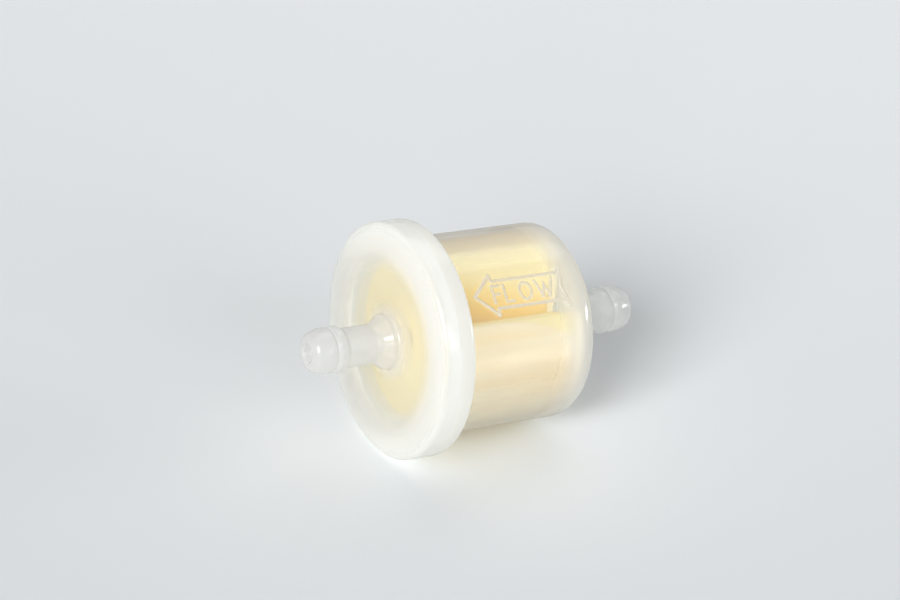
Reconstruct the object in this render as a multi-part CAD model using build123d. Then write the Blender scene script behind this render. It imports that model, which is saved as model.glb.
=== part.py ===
from build123d import *
import math
import os

# In-line fuel filter with a moulded nylon case. The axis is +X: fuel enters at the
# cup's nipple (+X end) and leaves at the cover's nipple (-X end). +Z is up, the
# origin is on the axis at mid-length, and every size is in millimetres.

# Driving lengths along the axis
NIPPLE_REACH_COVER = 15.2
NIPPLE_REACH_CUP = 15.6
CASE_LENGTH = 32.2
COVER_RIM_DEPTH = 3.0
CUP_FLANGE_DEPTH = 3.05
OVERALL_LENGTH = NIPPLE_REACH_COVER + CASE_LENGTH + NIPPLE_REACH_CUP

# Case radii and walls
FLANGE_R = 20.5
BODY_R_AT_FLANGE = 17.1
BODY_R_AT_END = 16.9
WALL = 1.0
END_WALL = 1.4
END_CORNER_R = 2.6
END_INNER_CORNER_R = 1.6
FLANGE_EDGE_R = 0.9
ROOT_R = 0.5
SMALL_EDGE_R = 0.3
FINE_EDGE_R = 0.2

# Cover: rounded rim with a fine line near its edge, a middle set just below the rim,
# and behind it a spigot with an inner ledge that the element's disc sits on
RIM_LINE_R = 19.3
RIM_LINE_WIDTH = 0.3
RIM_LINE_DEPTH = 0.1
RIM_LINE_FILLET = 0.05
RIM_INNER_R = 16.4
FACE_R = 15.0
FACE_SET_BACK = 0.2
FACE_BLEND_R = 4.0
FACE_THICKNESS = 1.5
LEDGE_R = 14.0
LEDGE_AT = 4.0
SPIGOT_END_AT = 5.2
SPIGOT_INNER_R = 14.5
SPIGOT_CLEARANCE = 0.1

# Hose nipples for 6.35 mm (1/4 in) fuel hose
PASSAGE_R = 1.6
TIP_SHOULDER_R = 3.3
TIP_ROUNDING = 1.5
BARB_R = 4.0
BARB_ENTRY_R = 0.8
BARB_EDGE_R = 0.15
BARB_VALLEY_R = 3.6
STEM_R = 3.43
STEM_FLARE_R = 2.5
COLLAR_R = 4.75
BARB_START = 2.6
BARB_END = 3.55
VALLEY_AT = 4.1
SECOND_BARB_START = 4.7
SECOND_BARB_END = 5.75
STEM_START = 6.6
FLARE_START = 12.4
COLLAR_START = 14.3

# Filter element: folded paper between a potted outlet disc and a glued blind end
PAPER_THICKNESS = 0.45
PAPER_WALL_GAP = 0.15
PAPER_VALLEY_R = 6.2
FIRST_LOBE_ANGLE = 150.0
LOBE_CONTACT_ANGLES = (84.0, 50.0, 60.0)
LOBE_TURN_ANGLE = 7.0
STEPS_PER_LOBE = 24
SEAL_R = 14.3
SEAL_HOLE_R = 2.4
SEAL_SHOULDER_R = 15.7
SEAL_SHOULDER_AT = 5.3
SEAL_BACK_AT = 6.1
BLIND_SEAL_THICKNESS = 1.2
BLIND_SEAL_GAP = 1.1
SEAM_WIDTH = 2.4
SEAM_THICKNESS = 0.35
SEAM_LOBE_POSITION = 0.2

# Flow arrow and word moulded on the cup
MARK_ANGLE = 132.4
MARK_HEIGHT = 0.3
MARK_SINK = 0.3
MARK_STROKE = 0.5
LETTER_STROKE = 0.42
ARROW_TIP_AT = 9.2
ARROW_LENGTH = 18.0
ARROW_HEAD_LENGTH = 4.0
ARROW_HEAD_HALF = 3.65
ARROW_SHAFT_HALF = 2.45
ARROW_TAIL_HALF = 3.55
ARROW_TAIL_FLARE = 1.2
ARROW_NOTCH = 1.0
LETTER_HEIGHT = 3.0
LETTERS_START_AT = (12.9, 15.15, 18.05, 21.4)
LETTER_WIDTH = 1.5
ROUND_LETTER_WIDTH = 2.3
WIDE_LETTER_WIDTH = 3.3
MARK_BLOCK_LIFT = 3.0
ROUND_LETTER_SIDES = 12

LOBES = len(LOBE_CONTACT_ANGLES)

# Derived stations: front is the cover's rim face, end is the cup's far face
FRONT = NIPPLE_REACH_COVER - OVERALL_LENGTH / 2
JOINT = FRONT + COVER_RIM_DEPTH
FLANGE_BACK = JOINT + CUP_FLANGE_DEPTH
END = FRONT + CASE_LENGTH
FACE = FRONT + FACE_SET_BACK
FACE_BACK = FACE + FACE_THICKNESS
CUP_FLOOR = END - END_WALL
ELEMENT_FRONT = FRONT + LEDGE_AT
PAPER_START = FRONT + SEAL_BACK_AT
PAPER_END = CUP_FLOOR - BLIND_SEAL_GAP - BLIND_SEAL_THICKNESS


def revolved(points, corner_radii):
    """A solid turned about the X axis from a closed outline of (x, radius) points."""
    outline = FilletPolyline(*points, radius=corner_radii, close=True)
    return revolve(make_face(outline), axis=Axis.X)


def nipple_outline(tip, inward):
    """Outer outline of a barbed nipple, from its tip to its collar, as (x, radius, fillet)."""
    stations = [
        (0.0, TIP_SHOULDER_R, TIP_ROUNDING),
        (BARB_START, BARB_R, BARB_ENTRY_R),
        (BARB_END, BARB_R, BARB_EDGE_R),
        (VALLEY_AT, BARB_VALLEY_R, FINE_EDGE_R),
        (SECOND_BARB_START, BARB_R, BARB_EDGE_R),
        (SECOND_BARB_END, BARB_R, FINE_EDGE_R),
        (STEM_START, STEM_R, ROOT_R),
        (FLARE_START, STEM_R, STEM_FLARE_R),
        (COLLAR_START, COLLAR_R, SMALL_EDGE_R),
    ]
    return [(tip + inward * along, radius, fillet) for along, radius, fillet in stations]


def cup_inner_r(x):
    """The cup's bore follows its outer draft."""
    share = (x - FLANGE_BACK) / (END - FLANGE_BACK)
    return BODY_R_AT_FLANGE + share * (BODY_R_AT_END - BODY_R_AT_FLANGE) - WALL


def from_outline(outline):
    """Turn (x, radius, fillet) rows into a revolved solid."""
    points = [(x, radius) for x, radius, _ in outline]
    return revolved(points, [fillet for _, _, fillet in outline])


def cup_shell():
    """Cup with its half of the flange and the inlet nipple, moulded in one."""
    tip = OVERALL_LENGTH / 2
    outside = [
        (JOINT, cup_inner_r(JOINT), 0.0),
        (JOINT, FLANGE_R, 0.0),
        (FLANGE_BACK, FLANGE_R, FLANGE_EDGE_R),
        (FLANGE_BACK, BODY_R_AT_FLANGE, ROOT_R),
        (END, BODY_R_AT_END, END_CORNER_R),
        (END, COLLAR_R, SMALL_EDGE_R),
    ]
    nipple = nipple_outline(tip, -1)[::-1]
    passage = [
        (tip, PASSAGE_R, SMALL_EDGE_R),
        (CUP_FLOOR, PASSAGE_R, SMALL_EDGE_R),
        (CUP_FLOOR, cup_inner_r(CUP_FLOOR), END_INNER_CORNER_R),
    ]
    return from_outline(outside + nipple + passage)


def mark_stroke(start, end, width):
    """One raised straight stroke between two (along, across) points on the mark."""
    dx = end[0] - start[0]
    dy = end[1] - start[1]
    length = math.hypot(dx, dy) + width
    middle = ((start[0] + end[0]) / 2, (start[1] + end[1]) / 2)
    bar = Rectangle(length, width)
    return Pos(*middle) * Rot(0, 0, math.degrees(math.atan2(dy, dx))) * bar


def arrow_points():
    """Outline of the arrow, its tip towards the cover and a notched, flared tail."""
    head = ARROW_HEAD_LENGTH
    tail = ARROW_LENGTH
    flare = tail - ARROW_TAIL_FLARE
    upper = [
        (0, 0),
        (head, ARROW_HEAD_HALF),
        (head, ARROW_SHAFT_HALF),
        (flare, ARROW_SHAFT_HALF),
        (tail, ARROW_TAIL_HALF),
        (tail - ARROW_NOTCH, 0),
    ]
    lower = [(x, -y) for x, y in upper[-2:0:-1]]
    return [(ARROW_TIP_AT + x, y) for x, y in upper + lower]


def letter_lines():
    """Plain block letters F, L, O, W as polylines in (along, across)."""
    h = LETTER_HEIGHT / 2
    w = LETTER_WIDTH
    wide = WIDE_LETTER_WIDTH
    ring = [
        (ROUND_LETTER_WIDTH / 2 * (1 + math.cos(a)), h * math.sin(a))
        for a in (2 * math.pi * i / ROUND_LETTER_SIDES for i in range(ROUND_LETTER_SIDES + 1))
    ]
    letters = [
        [[(w, h), (0, h), (0, -h)], [(0, 0), (w * 0.8, 0)]],
        [[(0, h), (0, -h), (w, -h)]],
        [ring],
        [[(0, h), (wide * 0.3, -h), (wide * 0.5, h * 0.6), (wide * 0.7, -h), (wide, h)]],
    ]
    return [
        [(start + x, y) for x, y in line]
        for start, lines in zip(LETTERS_START_AT, letters)
        for line in lines
    ]


def flow_mark():
    """The raised arrow and word, curved round the cup's outside."""
    outline = arrow_points()
    strokes = [
        mark_stroke(a, b, MARK_STROKE)
        for a, b in zip(outline, outline[1:] + outline[:1])
    ]
    strokes += [
        mark_stroke(a, b, LETTER_STROKE)
        for line in letter_lines()
        for a, b in zip(line, line[1:])
    ]
    flat = Sketch() + strokes
    tilt = Rot(MARK_ANGLE - 90, 0, 0)
    block = tilt * Pos(FRONT, 0, BODY_R_AT_END - MARK_BLOCK_LIFT) * extrude(flat, 2 * MARK_BLOCK_LIFT)
    outer = [
        (FLANGE_BACK, BODY_R_AT_FLANGE - MARK_SINK),
        (FLANGE_BACK, BODY_R_AT_FLANGE + MARK_HEIGHT),
        (END, BODY_R_AT_END + MARK_HEIGHT),
        (END, BODY_R_AT_END - MARK_SINK),
    ]
    skin = revolve(make_face(Polyline(*outer, close=True)), axis=Axis.X)
    return block & skin


def cup_housing():
    return cup_shell() + flow_mark()


def outlet_cover():
    """Cover with its half of the flange, spigot, inner ledge and outlet nipple."""
    tip = -OVERALL_LENGTH / 2
    spigot_r = cup_inner_r(JOINT) - SPIGOT_CLEARANCE
    spigot_end = FRONT + SPIGOT_END_AT
    line_low = RIM_LINE_R - RIM_LINE_WIDTH / 2
    line_high = RIM_LINE_R + RIM_LINE_WIDTH / 2
    nipple = nipple_outline(tip, 1)
    front = [
        (FACE, COLLAR_R, ROOT_R),
        (FACE, FACE_R, FACE_BLEND_R),
        (FRONT, RIM_INNER_R, FACE_BLEND_R),
        (FRONT, line_low, RIM_LINE_FILLET),
        (FRONT + RIM_LINE_DEPTH, RIM_LINE_R, RIM_LINE_FILLET),
        (FRONT, line_high, 0.0),
        (FRONT, FLANGE_R, FLANGE_R - line_high - RIM_LINE_FILLET),
    ]
    back = [
        (JOINT, FLANGE_R, 0.0),
        (JOINT, spigot_r, 0.0),
        (spigot_end, spigot_r, FINE_EDGE_R),
        (spigot_end, SPIGOT_INNER_R, FINE_EDGE_R),
        (ELEMENT_FRONT, SPIGOT_INNER_R, 0.0),
        (ELEMENT_FRONT, LEDGE_R, FINE_EDGE_R),
        (FACE_BACK, LEDGE_R, ROOT_R),
        (FACE_BACK, PASSAGE_R, SMALL_EDGE_R),
        (tip, PASSAGE_R, SMALL_EDGE_R),
    ]
    return from_outline(nipple + front + back)


def lobe_radius(share, contact):
    """Paper radius over one lobe: wall contact, sweep into the fold, sharp turn back out."""
    crest = cup_inner_r(CUP_FLOOR) - PAPER_WALL_GAP - PAPER_THICKNESS / 2
    valley = PAPER_VALLEY_R
    period = 360.0 / LOBES
    angle = share * period
    turn_start = period - LOBE_TURN_ANGLE
    if angle < contact:
        return crest
    if angle < turn_start:
        fall = (angle - contact) / (turn_start - contact)
        return crest - (crest - valley) * math.sin(fall * math.pi / 2) ** 2
    return valley + (crest - valley) * (angle - turn_start) / LOBE_TURN_ANGLE


def paper_line(offset):
    """Closed polygon of the paper's cross-section, moved out by offset, as (y, z) points."""
    total = LOBES * STEPS_PER_LOBE
    centre = []
    for i in range(total):
        lobe, step = divmod(i, STEPS_PER_LOBE)
        share = step / STEPS_PER_LOBE
        if step == STEPS_PER_LOBE - 1:
            share = 1 - LOBE_TURN_ANGLE * LOBES / 360.0
        angle = math.radians(FIRST_LOBE_ANGLE + 360.0 / LOBES * (lobe + share))
        radius = lobe_radius(share, LOBE_CONTACT_ANGLES[lobe])
        centre.append(Vector(radius * math.cos(angle), radius * math.sin(angle)))
    line = []
    for i in range(total):
        before = (centre[i] - centre[i - 1]).normalized()
        after = (centre[(i + 1) % total] - centre[i]).normalized()
        bisector = (before + after).normalized()
        normal = Vector(bisector.Y, -bisector.X)
        line.append(centre[i] + normal * offset)
    return line


def lobed_prism(offset, start, end):
    """Solid of the lobed outline between two stations."""
    face = make_face(Polyline(*paper_line(offset), close=True))
    return Plane.YZ.offset(start) * extrude(face, end - start)


def filter_paper():
    """Folded paper tube: three lobes swept round against the cup's wall."""
    half = PAPER_THICKNESS / 2
    return lobed_prism(half, PAPER_START, PAPER_END) - lobed_prism(-half, PAPER_START, PAPER_END)


def paper_seam():
    """Glue strip along the inside of the paper, where its two edges overlap."""
    inside = -PAPER_THICKNESS / 2
    layer = lobed_prism(inside, PAPER_START, PAPER_END)
    layer -= lobed_prism(inside - SEAM_THICKNESS, PAPER_START, PAPER_END)
    angle = FIRST_LOBE_ANGLE + 360.0 / LOBES * SEAM_LOBE_POSITION
    middle = (PAPER_START + PAPER_END) / 2
    strip = Box(PAPER_END - PAPER_START, SEAM_WIDTH, BODY_R_AT_END)
    return layer & (Rot(angle - 90, 0, 0) * Pos(middle, 0, BODY_R_AT_END) * strip)


def outlet_end_seal():
    """Potted disc between the cover's ledge and the paper, open to the outlet."""
    shoulder = FRONT + SEAL_SHOULDER_AT
    outline = [
        (ELEMENT_FRONT, SEAL_HOLE_R, 0.0),
        (ELEMENT_FRONT, SEAL_R, FINE_EDGE_R),
        (shoulder, SEAL_R, 0.0),
        (shoulder, SEAL_SHOULDER_R, FINE_EDGE_R),
        (PAPER_START, SEAL_SHOULDER_R, FINE_EDGE_R),
        (PAPER_START, SEAL_HOLE_R, FINE_EDGE_R),
    ]
    return from_outline(outline)


def inlet_end_seal():
    """Glue that closes the paper's blind end, with the paper's own outline."""
    return lobed_prism(PAPER_THICKNESS / 2, PAPER_END, PAPER_END + BLIND_SEAL_THICKNESS)


NODES = {
    "cup_housing": cup_housing,
    "outlet_cover": outlet_cover,
    "filter_paper": filter_paper,
    "paper_seam": paper_seam,
    "outlet_end_seal": outlet_end_seal,
    "inlet_end_seal": inlet_end_seal,
}

os.makedirs("parts", exist_ok=True)
for name, make in NODES.items():
    export_step(make(), f"parts/{name}.step")
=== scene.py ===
import math

import bpy
from mathutils import Matrix, Vector, noise


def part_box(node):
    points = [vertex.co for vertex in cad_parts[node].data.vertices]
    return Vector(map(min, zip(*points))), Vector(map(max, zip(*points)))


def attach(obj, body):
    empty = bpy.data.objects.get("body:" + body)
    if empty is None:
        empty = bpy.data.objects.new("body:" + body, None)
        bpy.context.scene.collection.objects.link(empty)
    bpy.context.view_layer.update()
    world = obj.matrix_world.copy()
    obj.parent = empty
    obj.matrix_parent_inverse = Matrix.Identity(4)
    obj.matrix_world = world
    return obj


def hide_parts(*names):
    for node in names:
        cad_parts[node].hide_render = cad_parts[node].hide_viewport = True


# Looks of the in-line fuel filter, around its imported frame. The axis is X, with the
# cover at -X. Shapes are in millimetres and turned into metres as the meshes are made.
# Materials, camera, lamps and floor are in metres.

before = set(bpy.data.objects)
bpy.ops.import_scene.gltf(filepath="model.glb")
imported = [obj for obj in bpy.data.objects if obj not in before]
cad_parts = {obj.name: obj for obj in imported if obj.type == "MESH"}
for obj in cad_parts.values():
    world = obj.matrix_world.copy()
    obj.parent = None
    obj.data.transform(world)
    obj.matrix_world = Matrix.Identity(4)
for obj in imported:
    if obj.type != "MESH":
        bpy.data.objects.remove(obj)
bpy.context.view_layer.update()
MM = 0.001

# ---- Stations and radii, from the frame and the moulding's driving sizes ----
CUP_LOW, CUP_HIGH = [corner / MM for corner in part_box("cup_housing")]
COVER_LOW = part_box("outlet_cover")[0] / MM
PAPER_LOW, PAPER_HIGH = [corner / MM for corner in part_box("filter_paper")]

TIP_IN = CUP_HIGH.x
TIP_OUT = COVER_LOW.x
JOINT = CUP_LOW.x
FLANGE_R = CUP_HIGH.z
FRONT = JOINT - 3.0
FLANGE_BACK = JOINT + 3.05
END = FRONT + 32.2
END_WALL = 1.4
CUP_FLOOR = END - END_WALL
FLANGE_EDGE = 0.9
BODY_R_AT_FLANGE = 17.1
BODY_R_AT_END = 16.9
WALL = 1.0
FACE = FRONT + 0.2
FACE_BACK = FACE + 1.5
FACE_R = 15.0
RIM_INNER_R = 16.4
RIM_LINE_R = 19.3
RIM_LINE_HALF = 0.15
RIM_LINE_DEPTH = 0.1
RIM_LINE_FILLET = 0.05
ELEMENT_FRONT = FRONT + 4.0
LEDGE_R = 14.0
SPIGOT_END = FRONT + 5.2
SPIGOT_INNER_R = 14.5
SPIGOT_GAP = 0.1
PASSAGE_R = 1.6
COLLAR_R = 4.75
COVER_TURNS = 200

# Nipple outline: distance from the tip, radius, fillet
NIPPLE = [
    (0.0, 3.3, 1.5),
    (2.6, 4.0, 0.8),
    (3.55, 4.0, 0.15),
    (4.1, 3.6, 0.2),
    (4.7, 4.0, 0.15),
    (5.75, 4.0, 0.2),
    (6.6, 3.43, 0.5),
    (12.4, 3.43, 2.5),
    (14.3, COLLAR_R, 0.3),
]

# Flow mark: arrow outline and letters as strokes in (along, across) from the rim face.
# Its stations are where the finer rings of the wall start and stop, and their step
MARK_ANGLE = math.radians(132.4)
MARK_HALF_ANGLE = math.radians(14.6)
MARK_HALF_WIDTH = 4.3
MARK_MARGIN = 1.0
MARK_FINE_TURNS = 84
MARK_COARSE_TURNS = 166
MARK_STATIONS = (8.0, 28.5, 0.13)
MARK_HEIGHT = 0.2
MARK_SOFT_EDGE = 0.28
ARROW_STROKE = 0.5
LETTER_STROKE = 0.42
ARROW = [(9.2, 0), (13.2, 3.65), (13.2, 2.45), (26.0, 2.45), (27.2, 3.55), (26.2, 0)]
LETTER_H = 1.5
LETTER_W = 1.5
ROUND_W = 2.3
WIDE_W = 3.3
LETTER_STARTS = (12.9, 15.15, 18.05, 21.4)

# Paper: lobes swept against the wall
PAPER_THICKNESS = 0.45
VALLEY_R = 6.2
FIRST_LOBE = 150.0
CONTACT_ANGLES = (84.0, 50.0, 60.0)
LOBES = len(CONTACT_ANGLES)
TURN_ANGLE = 7.0
CREST_R = 15.76
PINCH_ANGLE = 16.5
PINCH_LENGTH = 14.4
PINCH_DROP = 2.4
CRINKLE_HEIGHT = 0.07
CRINKLE_INSET = 0.03
CRINKLE_ALONG = 0.25
CRINKLE_ACROSS = 0.5
PAPER_RINGS = 64
CREST_STEPS, WALL_STEPS, FOLD_STEPS, TURN_STEPS = 24, 14, 26, 10

# ---- Mesh helpers ----

ARC_STEPS = 6

# Extra points this near a sharp corner keep its shading sharp
CORNER_HOLD = 0.02


def rounded(rows):
    """Closed (x, radius) outline whose corners are arcs of the given fillets."""
    outline = []
    for i, (x, r, fillet) in enumerate(rows):
        here = Vector((x, r))
        to_last = (Vector(rows[i - 1][:2]) - here).normalized()
        to_next = (Vector(rows[(i + 1) % len(rows)][:2]) - here).normalized()
        if fillet == 0:
            outline += [here + to_last * CORNER_HOLD, here, here + to_next * CORNER_HOLD]
            continue
        half = to_last.angle(to_next) / 2
        centre = here + (to_last + to_next).normalized() * (fillet / math.sin(half))
        first = here + to_last * (fillet / math.tan(half)) - centre
        last = here + to_next * (fillet / math.tan(half)) - centre
        sweep = first.angle_signed(last)
        for step in range(ARC_STEPS + 1):
            turn = Matrix.Rotation(-sweep * step / ARC_STEPS, 2)
            outline.append(centre + turn @ first)
    return outline


def split_span(outline, low, high, step):
    """Adds points along the outer wall between two stations."""
    finer = []
    for a, b in zip(outline, outline[1:] + outline[:1]):
        finer.append(a)
        if min(a.y, b.y) > BODY_R_AT_END - WALL / 2 and b.x - a.x > step:
            count = int((b.x - a.x) / step)
            inside = [a.lerp(b, n / count) for n in range(1, count)]
            finer += [p for p in inside if low <= p.x <= high]
    return finer


def add_object(name, vertices, faces, material):
    """A smooth-shaded mesh object from points in millimetres."""
    mesh = bpy.data.meshes.new(name)
    mesh.from_pydata([Vector(v) * MM for v in vertices], [], faces)
    mesh.validate()
    mesh.polygons.foreach_set("use_smooth", [True] * len(mesh.polygons))
    mesh.update()
    piece = bpy.data.objects.new(name, mesh)
    bpy.context.scene.collection.objects.link(piece)
    piece.data.materials.append(material)
    return piece


def lathe(name, outline, angles, material, lift=None):
    """Turns a closed outline about X. lift raises points of the outer wall."""
    vertices = []
    for angle in angles:
        c, s = math.cos(angle), math.sin(angle)
        for point in outline:
            r = point.y + (lift(point.x, point.y, angle) if lift else 0.0)
            vertices.append((point.x, r * c, r * s))
    n, turns = len(outline), len(angles)
    faces = []
    for i in range(turns):
        here, after = i * n, (i + 1) % turns * n
        for j in range(n):
            k = (j + 1) % n
            faces.append((here + j, after + j, after + k, here + k))
    return add_object(name, vertices, faces, material)


def even_angles(count):
    return [2 * math.pi * i / count for i in range(count)]


# ---- Materials ----

# Nylon. Haze is the share of light that a wall scatters when it is seen square on
GLOSS_ROUGHNESS = 0.11
GLOSS_SQUARE_ON = 0.06
GLOSS_AT_EDGE = 0.6
GLOSS_FALLOFF = 5.0
EDGE_LIMIT = 1.03
GLOW_SHARE = 0.66
CLEAR_TINT = (0.97, 0.985, 0.97)
CUP_TINT = (0.80, 0.805, 0.80)
COVER_TINT = (0.82, 0.82, 0.815)
CUP_HAZE = 0.2
COVER_HAZE = 0.22

# Haze added where the nylon is thicker: where it starts, where it is full, none, how much
FLANGE_HAZE = (0.0175, 0.0180, 0.0, 0.62)
MARK_HAZE = (0.00002, 0.00014, 0.0, 0.8)
END_HAZE = ((END - 7.8) * MM, (END - 3.6) * MM, 0.0, 0.48)
RIM_HAZE = (0.0120, 0.0160, 0.0, 0.58)
HUB_HAZE = (0.0072, 0.0046, 0.0, 0.62)

# Where the outer faces, the glossy ones, are told from the inner ones
CUP_SIDE = (-0.0006, -0.0003)
CUP_END = ((END - 0.8) * MM, (END - 0.5) * MM)
COVER_SIDE = (0.0165, 0.0168)
COVER_FACE = ((FACE + 0.8) * MM, (FACE + 0.5) * MM)

# Share of the lamps' light that each surface lets through
NYLON_PASS = (0.915, 0.915, 0.90)
PAPER_PASS = (0.67, 0.60, 0.28)

# Paper: painted shade from deep yellow at the bottom of a fold to pale at its crest, and tones of
# paper pressed to the wall
FOLD_SHADE_DEPTHS = (0.0092, 0.0158)
FOLD_SHADE_TONES = [(0.0, (1.0, 0.79, 0.03)), (0.6, (1.0, 0.86, 0.38)), (1.0, (0.98, 0.92, 0.64))]
PRESSED_TONES = [(0.4, (0.93, 0.81, 0.62)), (0.6, (0.95, 0.89, 0.80))]
# Painted shade: the folds are drawn deeper yellow towards the flange and paler towards the blind
# end
FOLD_SHADE_FADE_TO_END = 0.21
STREAK_WANDER = 0.0028
PAPER_AT_WALL = ((CREST_R - 0.45) * MM, (CREST_R - 0.1) * MM)
PAPER_GLOW_SHARE = 0.45

# Noise: cells per metre, how far it is drawn out along the axis, detail
RIPPLE = (160.0, 2.0, 3.0)
STREAKS = (260.0, 9.0, 3.0)
PATCHES = (190.0, 10.0, 2.0)

# Bumps: height in metres, strength
RIPPLE_BUMP = (0.00003, 0.4)
FIBRE_BUMP = (0.00008, 0.6)
DIMPLE_BUMP = (0.0003, 0.5)

# Glued and potted nodes: material, light tone, dark tone, roughness, cells per metre
COMPOUNDS = {
    "outlet_end_seal": ("end_seal", (0.82, 0.69, 0.39), (0.79, 0.64, 0.31), 0.55, 180.0),
    "inlet_end_seal": ("end_glue", (0.92, 0.83, 0.62), (0.90, 0.78, 0.54), 0.5, 200.0),
    "paper_seam": ("seam_glue", (0.93, 0.84, 0.60), (0.90, 0.76, 0.48), 0.45, 220.0),
}


def nodes_of(name):
    material = bpy.data.materials.new(name)
    material.use_nodes = True
    tree = material.node_tree
    tree.nodes.clear()
    out = tree.nodes.new("ShaderNodeOutputMaterial")
    return material, tree, out


def put(tree, kind, **values):
    """A node with its sockets and settings set by name."""
    node = tree.nodes.new(kind)
    for key, value in values.items():
        if hasattr(node, key):
            setattr(node, key, value)
        else:
            node.inputs[key.replace("_", " ")].default_value = value
    return node


def maths(tree, operation, a, b=0.0, clamp=False):
    """A Math node fed by sockets or numbers; returns its output."""
    node = put(tree, "ShaderNodeMath", operation=operation, use_clamp=clamp)
    for socket, value in zip(node.inputs, (a, b)):
        if isinstance(value, (int, float)):
            socket.default_value = value
        else:
            tree.links.new(value, socket)
    return node.outputs[0]


def ranged(tree, value, low, high, start=0.0, stop=1.0):
    """value mapped smoothly from low..high to start..stop."""
    node = put(tree, "ShaderNodeMapRange", interpolation_type="SMOOTHSTEP")
    tree.links.new(value, node.inputs["Value"])
    for name, number in zip(("From Min", "From Max", "To Min", "To Max"), (low, high, start, stop)):
        node.inputs[name].default_value = number
    return node.outputs["Result"]


def polar(tree):
    """Position along the axis and distance from it, in metres."""
    where = put(tree, "ShaderNodeTexCoord").outputs["Object"]
    split = put(tree, "ShaderNodeSeparateXYZ")
    tree.links.new(where, split.inputs[0])
    y2 = maths(tree, "MULTIPLY", split.outputs["Y"], split.outputs["Y"])
    z2 = maths(tree, "MULTIPLY", split.outputs["Z"], split.outputs["Z"])
    radius = maths(tree, "SQRT", maths(tree, "ADD", y2, z2))
    return where, split.outputs["X"], radius


def stretched_noise(tree, where, scale, stretch, detail):
    """Noise drawn out along the axis by stretch."""
    mapping = put(tree, "ShaderNodeMapping")
    mapping.inputs["Scale"].default_value = (1.0 / stretch, 1.0, 1.0)
    tree.links.new(where, mapping.inputs["Vector"])
    grain = put(tree, "ShaderNodeTexNoise", Scale=scale, Detail=detail)
    tree.links.new(mapping.outputs[0], grain.inputs["Vector"])
    return grain.outputs["Fac"]


def ramp(tree, value, stops):
    node = put(tree, "ShaderNodeValToRGB")
    elements = node.color_ramp.elements
    while len(elements) < len(stops):
        elements.new(0.5)
    for element, (position, colour) in zip(elements, stops):
        element.position = position
        element.color = (*colour, 1.0)
    tree.links.new(value, node.inputs[0])
    return node.outputs["Color"]


def bumped(tree, height, distance, strength):
    node = put(tree, "ShaderNodeBump", Distance=distance, Strength=strength)
    tree.links.new(height, node.inputs["Height"])
    return node.outputs["Normal"]


def lamps_through(tree, shader, tint):
    """Lets light from the lamps through a shader's surface, tinted."""
    lit = put(tree, "ShaderNodeBsdfTransparent")
    lit.inputs["Color"].default_value = (*tint, 1.0)
    let_in = put(tree, "ShaderNodeMixShader")
    tree.links.new(put(tree, "ShaderNodeLightPath").outputs["Is Shadow Ray"], let_in.inputs[0])
    tree.links.new(shader.outputs[0], let_in.inputs[1])
    tree.links.new(lit.outputs[0], let_in.inputs[2])
    return let_in


def nylon(name, haze, skin, tint):
    """Clear nylon: hazy where it is thick or seen edge-on, glossy outside, and it lets lamps in."""
    material, tree, out = nodes_of(name)
    link = tree.links.new
    where, along, radius = polar(tree)
    milk = put(tree, "ShaderNodeBsdfPrincipled", Roughness=0.5)
    milk.inputs["Base Color"].default_value = (*tint, 1.0)
    milk.inputs["Specular IOR Level"].default_value = 0.0
    glow = put(tree, "ShaderNodeBsdfTranslucent")
    glow.inputs["Color"].default_value = (*tint, 1.0)
    clear = put(tree, "ShaderNodeBsdfTransparent")
    clear.inputs["Color"].default_value = (*CLEAR_TINT, 1.0)
    gloss = put(tree, "ShaderNodeBsdfGlossy", Roughness=GLOSS_ROUGHNESS)
    facing = put(tree, "ShaderNodeLayerWeight", Blend=0.5).outputs["Facing"]
    body = put(tree, "ShaderNodeMixShader", Fac=GLOW_SHARE)
    link(milk.outputs[0], body.inputs[1])
    link(glow.outputs[0], body.inputs[2])
    thickness = maths(tree, "DIVIDE", 1.0, maths(tree, "SUBTRACT", EDGE_LIMIT, facing))
    clearness = maths(tree, "SUBTRACT", 1.0, haze(tree, along, radius), clamp=True)
    fog = maths(tree, "SUBTRACT", 1.0, maths(tree, "POWER", clearness, thickness))
    hazy = put(tree, "ShaderNodeMixShader")
    link(fog, hazy.inputs[0])
    link(clear.outputs[0], hazy.inputs[1])
    link(body.outputs[0], hazy.inputs[2])
    shine = maths(tree, "MULTIPLY", maths(tree, "POWER", facing, GLOSS_FALLOFF), GLOSS_AT_EDGE)
    shine = maths(tree, "ADD", shine, GLOSS_SQUARE_ON)
    outside = maths(tree, "SUBTRACT", 1.0, put(tree, "ShaderNodeNewGeometry").outputs["Backfacing"])
    shiny = put(tree, "ShaderNodeMixShader")
    outside = maths(tree, "MULTIPLY", outside, skin(tree, along, radius))
    link(maths(tree, "MULTIPLY", shine, outside), shiny.inputs[0])
    link(hazy.outputs[0], shiny.inputs[1])
    link(gloss.outputs[0], shiny.inputs[2])
    ripple = stretched_noise(tree, where, *RIPPLE)
    link(bumped(tree, ripple, *RIPPLE_BUMP), gloss.inputs["Normal"])
    link(lamps_through(tree, shiny, NYLON_PASS).outputs[0], out.inputs["Surface"])
    return material


def above_wall(tree, along, radius):
    """How far a point lies outside the cup's tapering wall, in metres."""
    taper = (BODY_R_AT_FLANGE - BODY_R_AT_END) / (END - FLANGE_BACK)
    level = (BODY_R_AT_FLANGE + FLANGE_BACK * taper) * MM
    raised = maths(tree, "ADD", radius, maths(tree, "MULTIPLY", along, taper))
    return maths(tree, "SUBTRACT", raised, level)


def cup_haze(tree, along, radius):
    """More haze in the flange, the mark, the end corner and the nipple than in the wall."""
    flange = ranged(tree, radius, *FLANGE_HAZE)
    mark = ranged(tree, above_wall(tree, along, radius), *MARK_HAZE)
    end = ranged(tree, along, *END_HAZE)
    both = maths(tree, "ADD", maths(tree, "MAXIMUM", flange, mark), end)
    return maths(tree, "ADD", both, CUP_HAZE)


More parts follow.
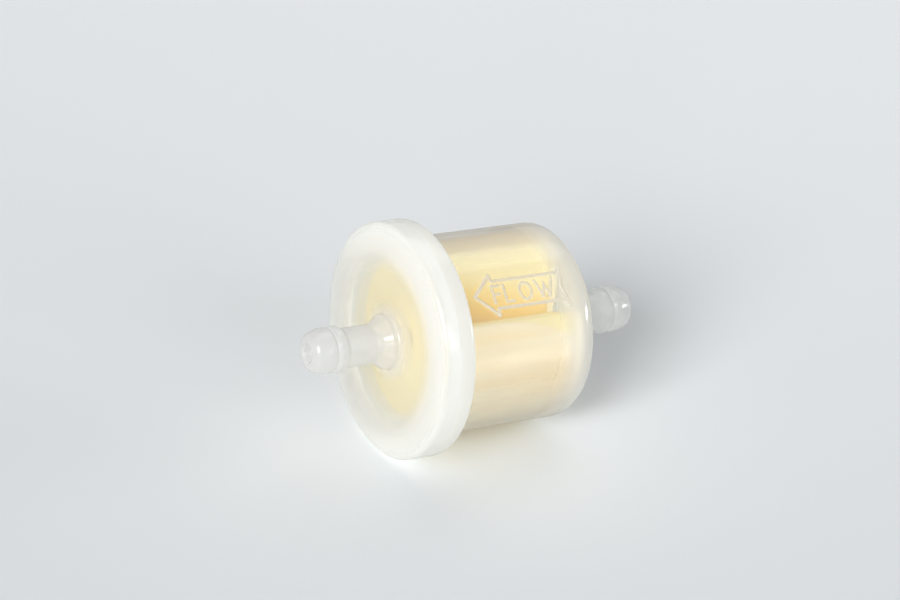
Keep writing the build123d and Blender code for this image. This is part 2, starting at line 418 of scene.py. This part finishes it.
def cup_skin(tree, along, radius):
    """1 on the cup's outer faces, 0 inside it."""
    side = ranged(tree, above_wall(tree, along, radius), *CUP_SIDE)
    end = ranged(tree, along, *CUP_END)
    return maths(tree, "MAXIMUM", side, end)


def cover_haze(tree, along, radius):
    """More haze in the rim and round the nipple than in the middle of the face."""
    rim = ranged(tree, radius, *RIM_HAZE)
    hub = ranged(tree, radius, *HUB_HAZE)
    both = maths(tree, "ADD", rim, hub)
    return maths(tree, "ADD", both, COVER_HAZE)


def cover_skin(tree, along, radius):
    """1 on the cover's outer faces, 0 behind its face."""
    side = ranged(tree, radius, *COVER_SIDE)
    face = ranged(tree, along, *COVER_FACE)
    return maths(tree, "MAXIMUM", side, face)


def paper_material():
    """Cream filter paper with fine fibres and long streaks; painted shade makes it deep yellow in
    its folds and towards the flange.
    """
    material, tree, out = nodes_of("filter_paper")
    link = tree.links.new
    where, along, radius = polar(tree)
    streaks = stretched_noise(tree, where, *STREAKS)
    wander = maths(tree, "MULTIPLY", maths(tree, "SUBTRACT", streaks, 0.5), STREAK_WANDER)
    # Painted shade: the fold tone is pushed deeper yellow nearer the flange
    shade_fade = maths(tree, "MULTIPLY", maths(tree, "SUBTRACT", along, PAPER_LOW.x * MM), FOLD_SHADE_FADE_TO_END)
    depth = maths(tree, "ADD", maths(tree, "ADD", radius, wander), shade_fade)
    # Painted shade: deeper into a fold the tone turns from pale cream to deep yellow
    fold_shade = ramp(tree, ranged(tree, depth, *FOLD_SHADE_DEPTHS), FOLD_SHADE_TONES)
    patches = stretched_noise(tree, where, *PATCHES)
    pressed = ramp(tree, patches, PRESSED_TONES)
    touching = ranged(tree, radius, *PAPER_AT_WALL)
    blend = put(tree, "ShaderNodeMix", data_type="RGBA")
    link(touching, blend.inputs["Factor"])
    link(fold_shade, blend.inputs[6])
    link(pressed, blend.inputs[7])
    tone = blend.outputs[2]
    fibres = put(tree, "ShaderNodeTexNoise", Scale=2600.0, Detail=4.0)
    link(where, fibres.inputs["Vector"])
    sheet = put(tree, "ShaderNodeBsdfPrincipled", Roughness=0.85)
    sheet.inputs["Specular IOR Level"].default_value = 0.2
    link(tone, sheet.inputs["Base Color"])
    link(bumped(tree, fibres.outputs["Fac"], *FIBRE_BUMP), sheet.inputs["Normal"])
    through = put(tree, "ShaderNodeBsdfTranslucent")
    link(tone, through.inputs["Color"])
    mixed = put(tree, "ShaderNodeMixShader", Fac=PAPER_GLOW_SHARE)
    link(sheet.outputs[0], mixed.inputs[1])
    link(through.outputs[0], mixed.inputs[2])
    link(lamps_through(tree, mixed, PAPER_PASS).outputs[0], out.inputs["Surface"])
    return material


def compound(name, light, dark, roughness, scale):
    """Potting compound or glue: two close tones, small dimples, a soft shine."""
    material, tree, out = nodes_of(name)
    link = tree.links.new
    where = put(tree, "ShaderNodeTexCoord").outputs["Object"]
    cloud = put(tree, "ShaderNodeTexNoise", Scale=scale, Detail=3.0)
    link(where, cloud.inputs["Vector"])
    surface = put(tree, "ShaderNodeBsdfPrincipled", Roughness=roughness)
    tones = ramp(tree, cloud.outputs["Fac"], [(0.35, dark), (0.65, light)])
    link(tones, surface.inputs["Base Color"])
    link(bumped(tree, cloud.outputs["Fac"], *DIMPLE_BUMP), surface.inputs["Normal"])
    link(surface.outputs[0], out.inputs["Surface"])
    return material


# ---- Cup, with its flow mark ----


def stroke_segments():
    """The mark's strokes as (start, end, half width) in (along, across)."""
    lower = [(x, -y) for x, y in ARROW[-2:0:-1]]
    closed = ARROW + lower
    strokes = [(a, b, ARROW_STROKE / 2) for a, b in zip(closed, closed[1:] + closed[:1])]
    h, w, wide = LETTER_H, LETTER_W, WIDE_W
    ring = [
        (ROUND_W / 2 * (1 + math.cos(a)), h * math.sin(a))
        for a in (2 * math.pi * i / 20 for i in range(21))
    ]
    letters = [
        [[(w, h), (0, h), (0, -h)], [(0, 0), (w * 0.8, 0)]],
        [[(0, h), (0, -h), (w, -h)]],
        [ring],
        [[(0, h), (wide * 0.3, -h), (wide * 0.5, h * 0.6), (wide * 0.7, -h), (wide, h)]],
    ]
    for start, lines in zip(LETTER_STARTS, letters):
        for line in lines:
            for (ax, ay), (bx, by) in zip(line, line[1:]):
                strokes.append(((start + ax, ay), (start + bx, by), LETTER_STROKE / 2))
    return [(Vector(a), Vector(b), half) for a, b, half in strokes]


STROKES = stroke_segments()


def mark_lift(x, r, angle):
    """Height of the raised mark at a point of the cup's outer wall."""
    if r < BODY_R_AT_END - WALL / 2 or r > BODY_R_AT_FLANGE + WALL / 2:
        return 0.0
    across = (MARK_ANGLE - angle) * BODY_R_AT_END
    along = x - FRONT
    in_length = ARROW[0][0] - MARK_MARGIN < along < ARROW[4][0] + MARK_MARGIN
    if not in_length or abs(across) > MARK_HALF_WIDTH:
        return 0.0
    point = Vector((along, across))
    gap = min(distance_to(point, a, b) - half for a, b, half in STROKES)
    share = min(max(0.5 - gap / MARK_SOFT_EDGE, 0.0), 1.0)
    return MARK_HEIGHT * share * share * (3 - 2 * share)


def distance_to(point, a, b):
    span = b - a
    share = min(max((point - a).dot(span) / span.length_squared, 0.0), 1.0)
    return (point - a - span * share).length


def cup_inner_r(x):
    share = (x - FLANGE_BACK) / (END - FLANGE_BACK)
    return BODY_R_AT_FLANGE + share * (BODY_R_AT_END - BODY_R_AT_FLANGE) - WALL


def mark_angles():
    """Fine turns across the flow mark and coarse ones round the rest."""
    low, high = MARK_ANGLE - MARK_HALF_ANGLE, MARK_ANGLE + MARK_HALF_ANGLE
    rest = 2 * math.pi - (high - low)
    fine = [low + (high - low) * i / MARK_FINE_TURNS for i in range(MARK_FINE_TURNS)]
    coarse = [high + rest * i / MARK_COARSE_TURNS for i in range(MARK_COARSE_TURNS)]
    return fine + coarse


def make_cup():
    """The cup with its inlet nipple; outline rows are station, radius, fillet."""
    outside = [
        (JOINT, cup_inner_r(JOINT), 0.0),
        (JOINT, FLANGE_R, 0.0),
        (FLANGE_BACK, FLANGE_R, FLANGE_EDGE),
        (FLANGE_BACK, BODY_R_AT_FLANGE, 0.5),
        (END, BODY_R_AT_END, 2.6),
        (END, COLLAR_R, 0.3),
    ]
    nipple = [(TIP_IN - along, r, fillet) for along, r, fillet in NIPPLE[::-1]]
    passage = [
        (TIP_IN, PASSAGE_R, 0.3),
        (CUP_FLOOR, PASSAGE_R, 0.3),
        (CUP_FLOOR, cup_inner_r(CUP_FLOOR), 1.6),
    ]
    low, high, step = MARK_STATIONS
    outline = split_span(rounded(outside + nipple + passage), FRONT + low, FRONT + high, step)
    piece = lathe("cup_housing_nylon", outline, mark_angles(), NYLON_CUP, mark_lift)
    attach(piece, "root")
    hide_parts("cup_housing")


def make_cover():
    """The cover with its outlet nipple; outline rows are station, radius, fillet."""
    spigot_r = cup_inner_r(JOINT) - SPIGOT_GAP
    line_low, line_high = RIM_LINE_R - RIM_LINE_HALF, RIM_LINE_R + RIM_LINE_HALF
    nipple = [(TIP_OUT + along, r, fillet) for along, r, fillet in NIPPLE]
    front = [
        (FACE, COLLAR_R, 0.5),
        (FACE, FACE_R, 4.0),
        (FRONT, RIM_INNER_R, 4.0),
        (FRONT, line_low, RIM_LINE_FILLET),
        (FRONT + RIM_LINE_DEPTH, RIM_LINE_R, RIM_LINE_FILLET),
        (FRONT, line_high, 0.0),
        (FRONT, FLANGE_R, FLANGE_R - line_high - RIM_LINE_FILLET),
    ]
    back = [
        (JOINT, FLANGE_R, 0.0),
        (JOINT, spigot_r, 0.0),
        (SPIGOT_END, spigot_r, 0.2),
        (SPIGOT_END, SPIGOT_INNER_R, 0.2),
        (ELEMENT_FRONT, SPIGOT_INNER_R, 0.0),
        (ELEMENT_FRONT, LEDGE_R, 0.2),
        (FACE_BACK, LEDGE_R, 0.5),
        (FACE_BACK, PASSAGE_R, 0.3),
        (TIP_OUT, PASSAGE_R, 0.3),
    ]
    outline = rounded(nipple + front + back)
    piece = lathe("outlet_cover_nylon", outline, even_angles(COVER_TURNS), NYLON_COVER)
    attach(piece, "root")
    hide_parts("outlet_cover")


# ---- Folded paper ----


def lobe_radius(angle, contact, pinch):
    """Paper radius over one lobe; pinch pulls the crest off the wall near the blind end."""
    crest = CREST_R - PAPER_THICKNESS / 2
    turn_start = 360.0 / LOBES - TURN_ANGLE
    drop = PINCH_DROP * pinch
    if angle < contact:
        return crest - drop * max(1 - angle / (PINCH_ANGLE * pinch * pinch + 0.01), 0.0)
    if angle < turn_start:
        fall = (angle - contact) / (turn_start - contact)
        return crest - (crest - VALLEY_R) * math.sin(fall * math.pi / 2) ** 2
    return VALLEY_R + (crest - drop - VALLEY_R) * (angle - turn_start) / TURN_ANGLE


def lobe_steps(contact):
    """Angles over one lobe, closer together at the crest and in the turn."""
    turn_start = 360.0 / LOBES - TURN_ANGLE
    crest = [PINCH_ANGLE * i / CREST_STEPS for i in range(CREST_STEPS)]
    wall = [PINCH_ANGLE + (contact - PINCH_ANGLE) * i / WALL_STEPS for i in range(WALL_STEPS)]
    fold = [contact + (turn_start - contact) * i / FOLD_STEPS for i in range(FOLD_STEPS)]
    turn = [turn_start + TURN_ANGLE * i / TURN_STEPS for i in range(TURN_STEPS)]
    return crest + wall + fold + turn


def make_paper():
    """The folded sheet: an outer and an inner skin closed at both ends."""
    start, stop = PAPER_LOW.x, PAPER_HIGH.x
    steps = [
        (FIRST_LOBE + 360.0 / LOBES * lobe + angle, angle, contact)
        for lobe, contact in enumerate(CONTACT_ANGLES)
        for angle in lobe_steps(contact)
    ]
    vertices, faces = [], []
    n = len(steps)
    for ring in range(PAPER_RINGS + 1):
        x = start + (stop - start) * ring / PAPER_RINGS
        pinch = max((x - (stop - PINCH_LENGTH)) / PINCH_LENGTH, 0.0)
        line = []
        for angle, lobe_angle, contact in steps:
            r = lobe_radius(lobe_angle, contact, pinch)
            a = math.radians(angle)
            grain = r * CRINKLE_ACROSS
            spot = Vector((x * CRINKLE_ALONG, grain * math.cos(a), grain * math.sin(a)))
            r += CRINKLE_HEIGHT * noise.noise(spot) - CRINKLE_INSET
            line.append(Vector((r * math.cos(a), r * math.sin(a))))
        for side in (1, -1):
            for i in range(n):
                along = (line[(i + 1) % n] - line[i - 1]).normalized()
                p = line[i] + Vector((along.y, -along.x)) * (side * PAPER_THICKNESS / 2)
                vertices.append((x, p.x, p.y))
    for ring in range(PAPER_RINGS):
        for side in (0, 1):
            here = (2 * ring + side) * n
            after = (2 * ring + 2 + side) * n
            for i in range(n):
                k = (i + 1) % n
                quad = (here + i, after + i, after + k, here + k)
                faces.append(quad if side else quad[::-1])
    for ring in (0, PAPER_RINGS):
        outer, inner = 2 * ring * n, (2 * ring + 1) * n
        for i in range(n):
            k = (i + 1) % n
            quad = (outer + i, outer + k, inner + k, inner + i)
            faces.append(quad if ring else quad[::-1])
    piece = add_object("filter_paper_sheet", vertices, faces, PAPER)
    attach(piece, "root")
    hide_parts("filter_paper")


# ---- Studio ----

FLOOR_TILT = math.radians(7.7)
# Painted light: the floor is coloured lighter towards this direction, away from the camera
FLOOR_PAINTED_LIGHT_TO = math.radians(135.0)
CAMERA_AZIMUTH = math.radians(-28.6)
CAMERA_ELEVATION = math.radians(30.1)
CAMERA_DISTANCE = 0.8
CAMERA_AIM = (0.011, 0.007)
LENS = 188.1
FLOOR_HALF = 3.0
# Painted light: floor tones ramp from darker near the camera to lighter far away over this span
FLOOR_PAINTED_LIGHT_SPAN = (-0.15, 0.2)
FLOOR_PAINTED_LIGHT_TONES = [(0.0, (0.77, 0.80, 0.815)), (1.0, (0.89, 0.91, 0.92))]
SKY_TINT = (0.93, 0.96, 1.0)
SKY_LIGHT = 0.17
SKY_SHINE = 0.9

# Lamps: name, azimuth, elevation, distance, width and height, power
LAMPS = [
    ("key", -58, 31, 4.0, (1.9, 1.9), 138.0),
    ("fill", 16, 22, 4.0, (1.8, 1.8), 33.0),
    ("low", 62, 8, 4.0, (1.4, 0.5), 30.0),
    ("strip", -40, 12, 4.0, (0.14, 1.3), 9.0),
    ("back", 132, 55, 0.62, (0.4, 0.4), 0.65),
    ("top", 150, 76, 4.0, (2.2, 2.2), 9.0),
]


def floor_frame():
    """Rotation whose Z is the floor's normal: the filter lies on its flange and cup end."""
    return Matrix.Rotation(-FLOOR_TILT, 3, "Y")


def toward(azimuth, elevation):
    """Unit vector in the row frame for a direction over the tilted floor."""
    flat = math.cos(elevation)
    local = Vector((math.sin(azimuth) * flat, -math.cos(azimuth) * flat, math.sin(elevation)))
    return floor_frame() @ local


def aim(thing, target):
    """Points a camera or lamp at a target with the floor's normal up."""
    back = (thing.location - target).normalized()
    right = floor_frame().col[2].cross(back).normalized()
    up = back.cross(right)
    thing.rotation_mode = "QUATERNION"
    thing.rotation_quaternion = Matrix((right, up, back)).transposed().to_quaternion()


def make_camera():
    data = bpy.data.cameras.new("camera")
    data.lens = LENS
    data.clip_start, data.clip_end = 0.05, 20.0
    camera = bpy.data.objects.new("camera", data)
    bpy.context.scene.collection.objects.link(camera)
    hub = Vector((FRONT, 0, 0)) * MM
    back = toward(CAMERA_AZIMUTH, CAMERA_ELEVATION)
    camera.location = hub + back * CAMERA_DISTANCE
    right = floor_frame().col[2].cross(back).normalized()
    up = back.cross(right)
    aim(camera, hub + right * CAMERA_AIM[0] + up * CAMERA_AIM[1])
    bpy.context.scene.camera = camera


def make_floor():
    """A pale sweep under the filter, tilted so that the flange and the cup's end both touch it. Its
    colour carries painted light, lighter away from the camera.
    """
    normal = floor_frame().col[2]
    rest = Vector((FLANGE_BACK - FLANGE_EDGE, 0, -FLANGE_R)) * MM
    mesh = bpy.data.meshes.new("floor")
    corners = [Vector((x, y, 0)) * FLOOR_HALF for x, y in ((-1, -1), (1, -1), (1, 1), (-1, 1))]
    mesh.from_pydata([floor_frame() @ corner for corner in corners], [], [(0, 1, 2, 3)])
    floor = bpy.data.objects.new("floor", mesh)
    floor.location = normal * rest.dot(normal)
    bpy.context.scene.collection.objects.link(floor)
    material, tree, out = nodes_of("floor")
    surface = put(tree, "ShaderNodeBsdfPrincipled", Roughness=0.9)
    surface.inputs["Specular IOR Level"].default_value = 0.1
    where = put(tree, "ShaderNodeTexCoord").outputs["Object"]
    # Painted light on the floor: its colour gets lighter along the far direction
    depth = put(tree, "ShaderNodeVectorMath", operation="DOT_PRODUCT")
    depth.inputs[1].default_value = toward(FLOOR_PAINTED_LIGHT_TO, 0.0)
    tree.links.new(where, depth.inputs[0])
    tone = ramp(tree, ranged(tree, depth.outputs["Value"], *FLOOR_PAINTED_LIGHT_SPAN), FLOOR_PAINTED_LIGHT_TONES)
    tree.links.new(tone, surface.inputs["Base Color"])
    tree.links.new(surface.outputs[0], out.inputs["Surface"])
    mesh.materials.append(material)


def softbox(name, azimuth, elevation, distance, size, power):
    """A rectangular lamp aimed at the filter."""
    data = bpy.data.lights.new(name, "AREA")
    data.shape = "RECTANGLE"
    data.size, data.size_y = size
    data.energy = power
    lamp = bpy.data.objects.new(name, data)
    bpy.context.scene.collection.objects.link(lamp)
    lamp.location = toward(math.radians(azimuth), math.radians(elevation)) * distance
    aim(lamp, Vector((0, 0, 0)))


def make_lights():
    world = bpy.data.worlds.new("studio")
    world.use_nodes = True
    tree = world.node_tree
    sky = tree.nodes["Background"]
    sky.inputs["Color"].default_value = (*SKY_TINT, 1.0)
    shine = put(tree, "ShaderNodeLightPath").outputs["Is Glossy Ray"]
    strength = maths(tree, "ADD", maths(tree, "MULTIPLY", shine, SKY_SHINE), SKY_LIGHT)
    tree.links.new(strength, sky.inputs["Strength"])
    bpy.context.scene.world = world
    for lamp in LAMPS:
        softbox(*lamp)


# ---- Assembly ----

NYLON_CUP = nylon("cup_nylon", cup_haze, cup_skin, CUP_TINT)
NYLON_COVER = nylon("cover_nylon", cover_haze, cover_skin, COVER_TINT)
PAPER = paper_material()
for node, look in COMPOUNDS.items():
    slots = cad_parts[node].data.materials
    slots.clear()
    slots.append(compound(*look))

make_cup()
make_cover()
make_paper()

make_floor()
make_lights()
make_camera()
bpy.context.scene.view_settings.view_transform = "Standard"
bpy.context.scene.cycles.transparent_max_bounces = 32
